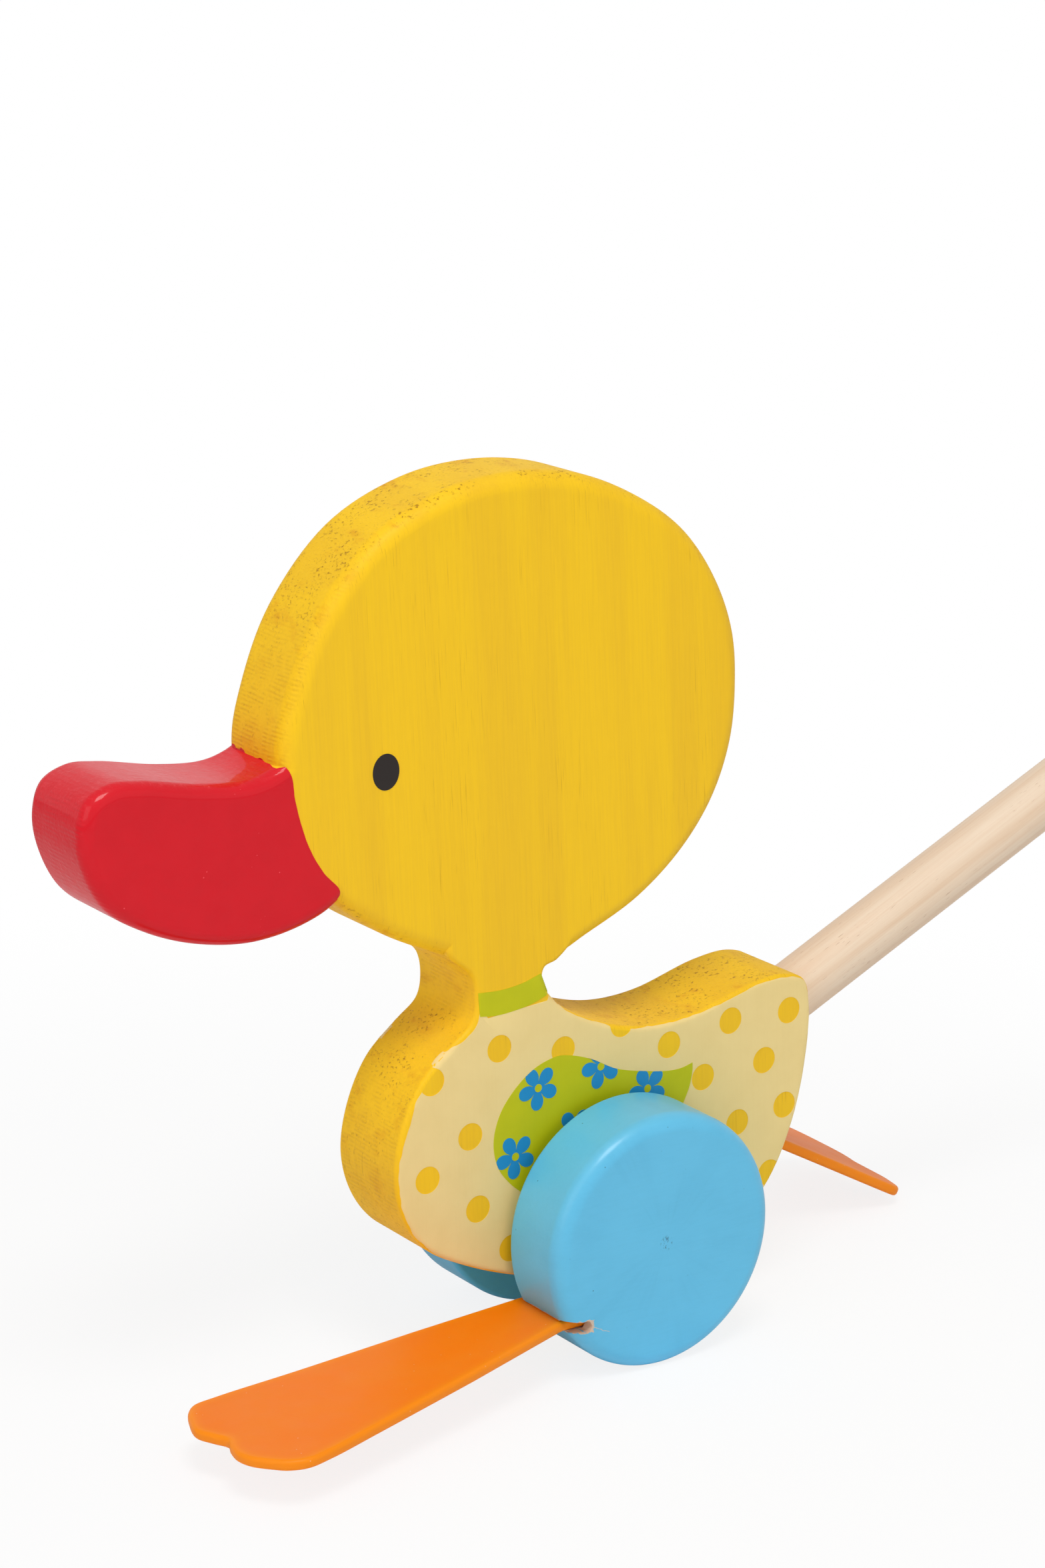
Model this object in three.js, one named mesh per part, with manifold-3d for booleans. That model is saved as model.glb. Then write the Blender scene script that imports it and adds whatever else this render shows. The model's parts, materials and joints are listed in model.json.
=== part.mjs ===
// A push-along wooden duck: a duck sawn from one board, two glued wheels on a turning axle,
// a rubber foot in a saw slot of each wheel, and a push stick with a ball to hold.
// Millimetres. The duck looks along -X, its left side faces -Y, and +Z is up.

import * as THREE from 'three';
import { mergeVertices } from 'three/addons/utils/BufferGeometryUtils.js';
import Module from 'manifold-3d';

const wasm = await Module();
wasm.setup();

// Board that the duck is sawn from
const boardThickness = 24;
const headEdgeRound = 4;
const beakEdgeRound = 3;
const bodyEdgeRound = 1.2;

// Body with its neck stub: extent ahead of and behind the axle, and above the ground
const bodyLength = 115.5;
const bodyAheadOfAxle = 58.5;
const bodyHeight = 65.4;
const bodyGroundClearance = 13.4;

// Head, measured up from the top of the body
const neckRise = 15.2;
const headLength = 121;
const headAheadOfAxle = 86.3;
const headHeight = 111;

// Beak, measured up from the underside of the head, its root buried in the head
const beakLength = 71.6;
const beakAheadOfHead = 47.3;
const beakHeight = 39.3;
const beakRise = 17;

// Wheels and the axle glued into them
const wheelDiameter = 60;
const wheelThickness = 19;
const wheelOuterRound = 3.8;
const wheelInnerRound = 1.2;
const wheelSideGap = 2.4;
const axleDiameter = 10;
const axleSeatDepth = 13;
const axleChamfer = 0.8;
const axleRunningGap = 0.4;

// Rubber feet, both of one size, pushed into their slots to different depths
const footThickness = 2.5;
const footLength = 103.5;
const footWidth = 38.9;
const leftFootTongue = 12;
const rightFootTongue = 6;
const footSideGap = 0.9;
const footEdgeSetback = 3.2;
const footBendRadius = 25;
const slotOffset = 15.3;
const slotMouthDepth = 5.5;
const leftFootDroop = THREE.MathUtils.degToRad(3);
const rightFootDroop = THREE.MathUtils.degToRad(29);
const rightFootTwist = THREE.MathUtils.degToRad(4);

// Push stick and the ball on its end
const stickDiameter = 14.3;
const stickLength = 420;
const stickSeatDepth = 32;
const stickChamfer = 1;
const stickAngle = THREE.MathUtils.degToRad(25.1);
const stickEntryHeight = 54.3;
const ballDiameter = 36;
const ballSeatDepth = 22;

// Fits and cutting
const glueGap = 0.3;
const cutOverrun = 5;

// How finely the round forms are divided
const outlineStepsPerPoint = 4;
const headRoundSteps = 4;
const beakRoundSteps = 3;
const bodyRoundSteps = 2;
const wheelSegments = 56;
const wheelOuterRoundSteps = 6;
const wheelInnerRoundSteps = 2;
const rodSegments = 36;
const ballSegments = 32;
const ballRingSteps = 14;
const footBendSteps = 10;

// Places that follow from the sizes above
const wheelRadius = wheelDiameter / 2;
const boardHalf = boardThickness / 2;
const wheelInnerY = boardHalf + wheelSideGap;
const wheelOuterY = wheelInnerY + wheelThickness;
const bodyTop = bodyGroundClearance + bodyHeight;
const headBottom = bodyTop + neckRise;
const slotRimX = Math.sqrt(wheelRadius ** 2 - slotOffset ** 2);
const footInnerY = boardHalf + footSideGap;
const footRootWidth = wheelOuterY - footEdgeSetback - footInnerY;

// Outlines, as [along X from the front, up Z from the bottom] in shares of each length and height
const headOutlineShares = [
  [0, 0.5], [0.02, 0.61], [0.08, 0.76], [0.2, 0.905], [0.35, 0.98], [0.5, 1],
  [0.64, 0.98], [0.78, 0.915], [0.88, 0.835], [0.95, 0.73], [0.99, 0.62], [1, 0.51],
  [0.99, 0.39], [0.95, 0.275], [0.88, 0.175], [0.78, 0.09], [0.66, 0.03], [0.59, 0],
  [0.47, 0], [0.29, 0.075], [0.19, 0.135], [0.1, 0.215], [0.03, 0.325],
];
const beakOutlineShares = [
  [0.65, 0.94], [0.56, 0.9], [0.41, 0.92], [0.21, 0.99], [0.11, 1], [0.03, 0.93],
  [0, 0.78], [0.01, 0.59], [0.08, 0.335], [0.205, 0.175], [0.37, 0.055], [0.57, 0],
  [0.75, 0.05], [0.86, 0.145], [1, 0.43], [0.99, 0.74], [0.89, 0.97], [0.75, 1.04],
];
const bodyOutlineShares = [
  [0.41, 1.3], [0.375, 1.23], [0.345, 1.21], [0.34, 1.17], [0.355, 1.11], [0.405, 1.035],
  [0.495, 0.96], [0.59, 0.92], [0.7, 0.925], [0.85, 0.99], [0.935, 1], [0.985, 0.965],
  [1, 0.865], [0.995, 0.685], [0.965, 0.445], [0.895, 0.205], [0.775, 0.05], [0.54, 0],
  [0.29, 0.105], [0.16, 0.195], [0.07, 0.29], [0.02, 0.415], [0, 0.565], [0.015, 0.73],
  [0.06, 0.89], [0.13, 1], [0.175, 1.065], [0.185, 1.14], [0.175, 1.23], [0.12, 1.33],
  [0.14, 1.41], [0.3, 1.41],
];

// Outline of a foot past the wheel's rim, as [share of its length, share of its width]
const toeOutlineShares = [
  [0.4, 0], [0.69, 0.015], [0.89, 0.015], [0.945, 0.03], [0.97, 0.09], [0.985, 0.17],
  [1, 0.31], [0.985, 0.425], [0.97, 0.52], [0.98, 0.6], [0.985, 0.69], [0.975, 0.79],
  [0.945, 0.9], [0.925, 0.955], [0.885, 1], [0.825, 0.98], [0.69, 0.885], [0.41, 0.68],
];

const toVector = (x, y) => new THREE.Vector2(x, y);

// Points on a smooth curve through the given points
function smoothPoints(points, closed) {
  const spots = points.map(([x, y]) => new THREE.Vector3(x, y, 0));
  const curve = new THREE.CatmullRomCurve3(spots, closed, 'centripetal');
  const divisions = outlineStepsPerPoint * points.length;
  const along = curve.getPoints(divisions).map((p) => toVector(p.x, p.y));
  return closed ? along.slice(0, divisions) : along;
}

function scaledShape(shares, left, bottom, length, height) {
  const points = shares.map(([across, up]) => [left + across * length, bottom + up * height]);
  return new THREE.Shape(smoothPoints(points, true));
}

// A manifold solid from a closed geometry, and a geometry back from a solid
function toSolid(geometry) {
  const bare = geometry.index ? geometry.toNonIndexed() : geometry.clone();
  bare.deleteAttribute('normal');
  bare.deleteAttribute('uv');
  const merged = mergeVertices(bare);
  const corners = merged.index.array;
  const faces = [];
  for (let i = 0; i < corners.length; i += 3) {
    const [a, b, c] = corners.subarray(i, i + 3);
    if (a !== b && b !== c && c !== a) faces.push(a, b, c);
  }
  return new wasm.Manifold(new wasm.Mesh({
    numProp: 3,
    vertProperties: new Float32Array(merged.attributes.position.array),
    triVerts: new Uint32Array(faces),
  }));
}

function toGeometry(solid) {
  const mesh = solid.getMesh();
  const geometry = new THREE.BufferGeometry();
  geometry.setAttribute('position', new THREE.BufferAttribute(mesh.vertProperties, mesh.numProp));
  geometry.setIndex(new THREE.BufferAttribute(mesh.triVerts, 1));
  geometry.computeVertexNormals();
  return geometry;
}

// An outline in X and Z cut from the board, its edges rounded
function boardCut(shape, edgeRound, roundSteps) {
  const depth = boardThickness - 2 * edgeRound;
  const geometry = new THREE.ExtrudeGeometry(shape, {
    depth,
    bevelEnabled: true,
    bevelThickness: edgeRound,
    bevelSize: edgeRound,
    bevelOffset: -edgeRound,
    bevelSegments: roundSteps,
  });
  geometry.translate(0, 0, -depth / 2);
  geometry.rotateX(Math.PI / 2);
  return geometry;
}

// Direction of the push stick, and the point where its axis leaves the tail
const stickDirection = new THREE.Vector3(Math.cos(stickAngle), 0, Math.sin(stickAngle));
const stickEntry = new THREE.Vector3(
  bodyLength - bodyAheadOfAxle, 0, bodyGroundClearance + stickEntryHeight,
);

// Stands a geometry made along +Y on the stick's axis, its base at a distance from the entry
function alongStick(geometry, distance) {
  geometry.rotateZ(stickAngle - Math.PI / 2);
  geometry.rotateX(Math.PI / 2);
  const base = stickEntry.clone().addScaledVector(stickDirection, distance);
  geometry.translate(base.x, base.y, base.z);
  return geometry;
}

// A round rod along +Y from zero, with chamfered ends
function rod(diameter, length, chamfer) {
  const radius = diameter / 2;
  return new THREE.LatheGeometry([
    toVector(0, 0),
    toVector(radius - chamfer, 0),
    toVector(radius, chamfer),
    toVector(radius, length - chamfer),
    toVector(radius - chamfer, length),
    toVector(0, length),
  ], rodSegments);
}

function duckBody() {
  const body = scaledShape(
    bodyOutlineShares, -bodyAheadOfAxle, bodyGroundClearance, bodyLength, bodyHeight,
  );
  const head = scaledShape(headOutlineShares, -headAheadOfAxle, headBottom, headLength, headHeight);
  const beakFront = -headAheadOfAxle - beakAheadOfHead;
  const beak = scaledShape(
    beakOutlineShares, beakFront, headBottom + beakRise, beakLength, beakHeight,
  );
  const duck = toSolid(boardCut(body, bodyEdgeRound, bodyRoundSteps))
    .add(toSolid(boardCut(head, headEdgeRound, headRoundSteps)))
    .add(toSolid(boardCut(beak, beakEdgeRound, beakRoundSteps)));
  const axleBoreRadius = axleDiameter / 2 + axleRunningGap;
  const axleBore = new THREE.CylinderGeometry(
    axleBoreRadius, axleBoreRadius, boardThickness + 2 * cutOverrun, rodSegments,
  );
  axleBore.translate(0, 0, wheelRadius);
  const stickBoreRadius = stickDiameter / 2 + glueGap;
  const stickBore = new THREE.CylinderGeometry(
    stickBoreRadius, stickBoreRadius, stickSeatDepth + 2 * cutOverrun, rodSegments,
  );
  stickBore.translate(0, stickSeatDepth / 2 + cutOverrun, 0);
  alongStick(stickBore, -stickSeatDepth);
  return toGeometry(duck.subtract(toSolid(axleBore)).subtract(toSolid(stickBore)));
}

function pushStick() {
  return alongStick(rod(stickDiameter, stickLength, stickChamfer), glueGap - stickSeatDepth);
}

// Ball with a blind bore for the stick, its mouth at the start of the profile
function gripBall() {
  const radius = ballDiameter / 2;
  const boreRadius = stickDiameter / 2 + glueGap;
  const mouthAngle = Math.asin(boreRadius / radius);
  const mouth = radius - radius * Math.cos(mouthAngle);
  const floor = mouth + ballSeatDepth;
  const arc = new THREE.Path().absarc(0, radius, radius, mouthAngle - Math.PI / 2, Math.PI / 2, false);
  const round = arc.getPoints(ballRingSteps);
  round[round.length - 1].x = 0;
  const profile = [toVector(0, floor), toVector(boreRadius, floor), ...round];
  const stickEnd = glueGap - stickSeatDepth + stickLength;
  return alongStick(new THREE.LatheGeometry(profile, ballSegments), stickEnd + glueGap - floor);
}

function axle() {
  const length = 2 * (wheelInnerY + axleSeatDepth);
  const geometry = rod(axleDiameter, length, axleChamfer);
  geometry.translate(0, -length / 2, 0);
  return geometry;
}

// One wheel on the +Y side, or turned over for the -Y side, with the slot for its own foot
function wheel(side, tongue) {
  const boreRadius = axleDiameter / 2 + glueGap;
  const inner = new THREE.Path().absarc(
    wheelRadius - wheelInnerRound, wheelInnerY + wheelInnerRound, wheelInnerRound, -Math.PI / 2, 0, false,
  );
  const outer = new THREE.Path().absarc(
    wheelRadius - wheelOuterRound, wheelOuterY - wheelOuterRound, wheelOuterRound, 0, Math.PI / 2, false,
  );
  const boreFloor = wheelInnerY + axleSeatDepth + glueGap;
  const profile = [
    toVector(0, boreFloor),
    toVector(boreRadius, boreFloor),
    toVector(boreRadius, wheelInnerY),
    ...inner.getPoints(wheelInnerRoundSteps),
    ...outer.getPoints(wheelOuterRoundSteps),
    toVector(0, wheelOuterY),
  ];
  const disc = new THREE.LatheGeometry(profile, wheelSegments);
  if (side < 0) disc.rotateX(Math.PI);
  return toGeometry(toSolid(disc).subtract(footSlot(side, tongue)));
}

// A box between two corners that lie on the +X, +Y, +Z side, or opposite for the other side
function cornerBox(side, low, high) {
  const geometry = new THREE.BoxGeometry(high[0] - low[0], high[1] - low[1], high[2] - low[2]);
  geometry.translate(...low.map((value, axis) => side * (value + high[axis]) / 2));
  return toSolid(geometry);
}

// The saw slot for a foot's tongue, with a mouth that breaks out of the wheel's face at the rim
function footSlot(side, tongue) {
  const low = slotOffset - footThickness / 2 - glueGap;
  const high = slotOffset + footThickness / 2 + glueGap;
  const end = wheelRadius + cutOverrun;
  const seat = cornerBox(
    side,
    [slotRimX - tongue - glueGap, wheelInnerY - cutOverrun, low],
    [end, footInnerY + footRootWidth + glueGap, high],
  );
  const mouth = cornerBox(
    side, [slotRimX - slotMouthDepth, wheelInnerY, low], [end, wheelOuterY + cutOverrun, high],
  );
  return seat.add(mouth);
}

// Outline of a bent strip in X and Z: straight in the slot, an arc at the rim, then straight
function stripShape(droop, tongue) {
  const half = footThickness / 2;
  const bend = Math.PI / 2 - droop;
  const end = toVector(Math.cos(droop), -Math.sin(droop)).multiplyScalar(footLength);
  const shape = new THREE.Shape();
  shape.moveTo(-tongue, half);
  shape.lineTo(0, half);
  shape.absarc(0, -footBendRadius, footBendRadius + half, Math.PI / 2, bend, true);
  shape.lineTo(shape.currentPoint.x + end.x, shape.currentPoint.y + end.y);
  const under = toVector(Math.cos(bend), Math.sin(bend)).multiplyScalar(footBendRadius - half);
  shape.lineTo(under.x + end.x, under.y - footBendRadius + end.y);
  shape.absarc(0, -footBendRadius, footBendRadius - half, bend, Math.PI / 2, false);
  shape.lineTo(-tongue, -half);
  return shape;
}

// How far along X the strip has come after a distance along its middle
function stripX(distance, droop) {
  const arc = footBendRadius * droop;
  if (distance <= 0) return distance;
  if (distance <= arc) return footBendRadius * Math.sin(distance / footBendRadius);
  return footBendRadius * Math.sin(droop) + (distance - arc) * Math.cos(droop);
}

// A foot: the bent strip cut to the webbed outline, with its outer side lifted by the twist
function foot(side, tongue, droop, twist) {
  const strip = new THREE.ExtrudeGeometry(stripShape(droop, tongue), {
    depth: footWidth + 2 * cutOverrun, bevelEnabled: false, curveSegments: footBendSteps,
  });
  strip.rotateX(Math.PI / 2);
  strip.translate(0, footWidth + cutOverrun, 0);

  const toe = toeOutlineShares.map(([along, across]) => [
    stripX(along * footLength - tongue, droop), across * footWidth,
  ]);
  const plan = new THREE.Shape([
    toVector(-tongue, 0),
    toVector(0, 0),
    ...smoothPoints(toe, false),
    toVector(0, footRootWidth),
    toVector(-tongue, footRootWidth),
  ]);
  const height = 2 * (footLength + cutOverrun);
  const prism = new THREE.ExtrudeGeometry(plan, { depth: height, bevelEnabled: false });
  prism.translate(0, 0, -height / 2);

  const geometry = toGeometry(toSolid(strip).intersect(toSolid(prism)));
  const spots = geometry.attributes.position;
  for (let i = 0; i < spots.count; i += 1) {
    const ramp = THREE.MathUtils.smoothstep(spots.getX(i), 0, footBendRadius);
    spots.setZ(i, spots.getZ(i) + spots.getY(i) * Math.tan(twist) * ramp);
  }
  geometry.translate(slotRimX, footInnerY, slotOffset);
  if (side < 0) {
    geometry.rotateZ(Math.PI);
    geometry.translate(0, 0, -2 * slotOffset);
  }
  geometry.computeVertexNormals();
  return geometry;
}

function part(name, geometry, color, roughness) {
  const mesh = new THREE.Mesh(geometry, new THREE.MeshStandardMaterial({ color, roughness, metalness: 0 }));
  mesh.name = name;
  return mesh;
}

// The toy, standing on its wheels with the axle over X = 0
const toy = new THREE.Group();
toy.add(part('duck_body', duckBody(), 0xecbc33, 0.5));
toy.add(part('push_stick', pushStick(), 0xeacfb5, 0.6));
toy.add(part('grip_ball', gripBall(), 0xd32b33, 0.4));

const wheelSet = new THREE.Group();
wheelSet.position.z = wheelRadius;
wheelSet.add(part('axle', axle(), 0xdcc29a, 0.6));
wheelSet.add(part('wheel_left', wheel(-1, leftFootTongue), 0x69b8d9, 0.4));
wheelSet.add(part('wheel_right', wheel(1, rightFootTongue), 0x69b8d9, 0.4));
wheelSet.add(part('foot_left', foot(-1, leftFootTongue, leftFootDroop, 0), 0xf08327, 0.55));
wheelSet.add(part('foot_right', foot(1, rightFootTongue, rightFootDroop, rightFootTwist), 0xf08327, 0.55));
toy.add(wheelSet);

// The origin lies under the middle of the whole toy
const group = new THREE.Group();
group.add(toy);
group.updateMatrixWorld(true);
const box = new THREE.Box3().setFromObject(group, true);
toy.position.set(-(box.min.x + box.max.x) / 2, -(box.min.y + box.max.y) / 2, -box.min.z);
group.updateMatrixWorld(true);

export default group;
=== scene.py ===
import json
import math

import bmesh
import bpy
from mathutils import Matrix, Vector, noise
from mathutils.geometry import delaunay_2d_cdt


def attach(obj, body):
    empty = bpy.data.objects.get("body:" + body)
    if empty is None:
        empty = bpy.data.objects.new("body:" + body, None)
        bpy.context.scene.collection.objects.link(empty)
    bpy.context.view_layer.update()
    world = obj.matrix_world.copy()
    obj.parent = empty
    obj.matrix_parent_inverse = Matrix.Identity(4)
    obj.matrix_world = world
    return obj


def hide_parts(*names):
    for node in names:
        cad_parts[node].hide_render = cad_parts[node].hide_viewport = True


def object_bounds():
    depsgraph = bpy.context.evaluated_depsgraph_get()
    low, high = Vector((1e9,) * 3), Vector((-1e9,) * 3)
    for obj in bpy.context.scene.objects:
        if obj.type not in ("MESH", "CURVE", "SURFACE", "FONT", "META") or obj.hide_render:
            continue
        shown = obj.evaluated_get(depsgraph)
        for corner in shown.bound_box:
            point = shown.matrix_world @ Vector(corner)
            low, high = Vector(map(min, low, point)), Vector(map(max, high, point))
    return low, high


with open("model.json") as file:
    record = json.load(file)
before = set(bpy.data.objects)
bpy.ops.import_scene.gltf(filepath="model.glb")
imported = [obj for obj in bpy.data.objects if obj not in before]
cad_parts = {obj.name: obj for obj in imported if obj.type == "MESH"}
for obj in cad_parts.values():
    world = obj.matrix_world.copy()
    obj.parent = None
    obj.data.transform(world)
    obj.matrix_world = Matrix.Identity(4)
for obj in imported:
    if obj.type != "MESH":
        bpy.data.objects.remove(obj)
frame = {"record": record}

bl_info = {
    "name": "Duck push toy",
    "version": (1, 0, 0),
    "blender": (4, 5, 0),
    "location": "View3D > Sidebar > Duck toy",
    "description": "Builds a push-along wooden duck around its packed CAD frame",
    "category": "Object",
}

CAD_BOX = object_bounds()
MM = 0.001
AXLE = Vector(frame["record"]["behaviour"]["joints"][0]["pos_m"])

# Places of the sawn outlines, in shares of each length and height, as in the CAD source
HEAD_SHARES = (
    (0, 0.5), (0.02, 0.61), (0.08, 0.76), (0.2, 0.905), (0.35, 0.98), (0.5, 1),
    (0.64, 0.98), (0.78, 0.915), (0.88, 0.835), (0.95, 0.73), (0.99, 0.62), (1, 0.51),
    (0.99, 0.39), (0.95, 0.275), (0.88, 0.175), (0.78, 0.09), (0.66, 0.03), (0.59, 0),
    (0.47, 0), (0.29, 0.075), (0.19, 0.135), (0.1, 0.215), (0.03, 0.325),
)
BEAK_SHARES = (
    (0.65, 0.94), (0.56, 0.9), (0.41, 0.92), (0.21, 0.99), (0.11, 1), (0.03, 0.93),
    (0, 0.78), (0.01, 0.59), (0.08, 0.335), (0.205, 0.175), (0.37, 0.055), (0.57, 0),
    (0.75, 0.05), (0.86, 0.145), (1, 0.43), (0.99, 0.74), (0.89, 0.97), (0.75, 1.04),
)
BODY_SHARES = (
    (0.41, 1.3), (0.375, 1.23), (0.345, 1.21), (0.34, 1.17), (0.355, 1.11), (0.405, 1.035),
    (0.495, 0.96), (0.59, 0.92), (0.7, 0.925), (0.85, 0.99), (0.935, 1), (0.985, 0.965),
    (1, 0.865), (0.995, 0.685), (0.965, 0.445), (0.895, 0.205), (0.775, 0.05), (0.54, 0),
    (0.29, 0.105), (0.16, 0.195), (0.07, 0.29), (0.02, 0.415), (0, 0.565), (0.015, 0.73),
    (0.06, 0.89), (0.13, 1), (0.175, 1.065), (0.185, 1.14), (0.175, 1.23), (0.12, 1.33),
    (0.14, 1.41), (0.3, 1.41),
)
TOE_SHARES = (
    (0.4, 0), (0.69, 0.015), (0.89, 0.015), (0.945, 0.03), (0.97, 0.09), (0.985, 0.17),
    (1, 0.31), (0.985, 0.425), (0.97, 0.52), (0.98, 0.6), (0.985, 0.69), (0.975, 0.79),
    (0.945, 0.9), (0.925, 0.955), (0.885, 1), (0.825, 0.98), (0.69, 0.885), (0.41, 0.68),
)

# Paint edges on the board's face, in millimetres from the axle's middle and from the ground
BEAK_PAINT_EDGE = (
    (-87.5, 153), (-86, 150.4), (-84.8, 148.2), (-83.9, 145.4), (-83.4, 141.5), (-82.2, 136.5),
    (-80, 130.2), (-76.6, 124.2), (-72.3, 118.9), (-73.8, 116.4), (-76, 112),
)
PANEL_BREAST = (
    (-36.4, 85), (-36.9, 83.3), (-37.9, 81.6), (-40, 80), (-43.1, 78.5), (-45.3, 77.4),
    (-47.8, 75.4), (-50, 72.2), (-51.8, 69.6), (-53.2, 67.4), (-54.1, 64.5), (-55.4, 61),
    (-56.7, 57.3), (-57.5, 53.7), (-57.6, 49.4), (-57.1, 45), (-55.8, 41), (-53.9, 37),
    (-51.2, 33.8), (-48, 30.8), (-43.6, 28.1), (-37.8, 25.5), (-31.9, 23.2), (-26.8, 21.2),
    (-20, 18.6), (-12, 16.2), (-4, 14.6), (4, 14), (14, 14.3), (24, 15.6), (31, 17.4),
    (38, 21), (44.6, 27.4), (49.5, 35), (52.8, 43.3), (54.8, 51), (56.2, 58), (56.6, 64),
    (56.6, 70), (55.8, 73.8),
)
PANEL_BACK = (
    (55.8, 73.8), (55.2, 75.9), (53.4, 77.3), (49.8, 78.1), (45.5, 78.2), (39.8, 77.5),
    (34.1, 76), (28.5, 74.6), (22.8, 73.7), (17.1, 73.1), (9.9, 73.3), (4.4, 73.9),
    (0.3, 74.6), (-1.2, 75.7), (-8.1, 78.7), (-11.8, 80.7), (-14.8, 83.2), (-17.6, 86.4),
)
COLLAR_BOTTOM = ((-36.4, 84.4), (-32, 83.9), (-27.6, 84.1), (-22.5, 84.9), (-17.4, 86.6))
COLLAR_TOP = ((-20.1, 91.6), (-25, 90.2), (-30.5, 89.6), (-36.7, 89.9))
WING_TOP = (
    (22.5, 62.4), (19.5, 61.7), (16, 61.7), (9.6, 62.8), (0.9, 65.1), (-6, 68.7),
    (-11.4, 70.6), (-15.5, 71.2), (-21.5, 69.6), (-27, 65.6), (-31, 60.4), (-32.7, 54),
    (-31.5, 48), (-28.7, 44), (-25.4, 41), (-19, 37), (-10, 34.6), (0, 35.6), (8.5, 39),
    (15.5, 45), (20.1, 53.2), (21.8, 57), (22.5, 60.5), (22.5, 62.4),
)

# Middles of the printed dots, the eye and the flowers, each flower with its turn in degrees
DOTS = (
    (-31.2, 76), (-13.9, 72.4), (-49, 71.6), (-38.9, 56.8), (-50.2, 48.9), (-36.8, 39.2),
    (-27.8, 27.9), (15.7, 68), (33.3, 70.5), (50.4, 69.9), (25.6, 58.2), (43.4, 58.9),
    (35.9, 45), (49.7, 46.6), (45.6, 30.5), (2.3, 75.6), (22, 24.5), (5, 21.5),
)
EYE = (-60.6, 143.9)
FLOWERS = (
    (-20.7, 64.7, 23), (-3.5, 66.5, 33), (9.7, 58.6, 28), (-26.8, 49.6, 24),
    (-10.6, 52.6, 20), (3, 47.5, 30), (-16, 41.5, 12),
)

# How deep the printed films reach into the board, and the rings of points inside their outlines
# that let their tops follow its rounded edge, in millimetres
FILM_ROOT = 1.7
FILM_RINGS = (0.25, 0.6, 1.1, 1.7)

# Where the sawn edge begins to round over to the faces, in millimetres from the board's middle
FACE_START = 10.2

# Fits that aren't settings, in metres
BORE_GAP = 0.0001  # round the stick in the tail
RUNNING_GAP = 0.0004  # round the axle in the board
SLOT_GAP = 0.00015  # over and under a foot in its slot
SEAT_GAP = 0.0003  # past a foot's outer side in its slot
FOOT_START = 0.0009  # from the board's face to a foot's inner side
FOOT_END = 0.0032  # from a foot's outer side to the wheel's outer face
WELD = 0.000002  # points closer than this become one

# Longest side of a foot's outline, and the distance of the cuts that let it bend, in metres
SIDE_STEP = 0.0012
BEND_STEP = 0.0025

# How far the board's grain leans, and the angle from which an edge is shaded sharp
GRAIN_LEAN = math.radians(-3)
SHARP_FROM = math.radians(40)


# Node trees

def adding(operation):
    """An operator of Value that adds one Math node."""
    return lambda value, other: value.maths(operation, other)


class Value:
    """A number socket whose operators add Math nodes."""

    def __init__(self, net, socket):
        self.net = net
        self.socket = socket

    def maths(self, operation, *others):
        return self.net.maths(operation, self, *others)

    __add__ = __radd__ = adding("ADD")
    __mul__ = __rmul__ = adding("MULTIPLY")
    __sub__ = adding("SUBTRACT")
    __pow__ = adding("POWER")
    __gt__ = adding("GREATER_THAN")
    __lt__ = adding("LESS_THAN")

    def __rsub__(self, other):
        return self.net.maths("SUBTRACT", other, self)

    def __abs__(self):
        return self.maths("ABSOLUTE")

    def between(self, low, high):
        """0 below low, 1 above high, smooth between; the other way round if low is the larger."""
        falling = low > high
        start, end = (high, low) if falling else (low, high)
        return self.net.number("ShaderNodeMapRange", {
            "Value": self, "From Min": start, "From Max": end,
            "To Min": 1.0 if falling else 0.0, "To Max": 0.0 if falling else 1.0,
        }, interpolation_type="SMOOTHSTEP")


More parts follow.
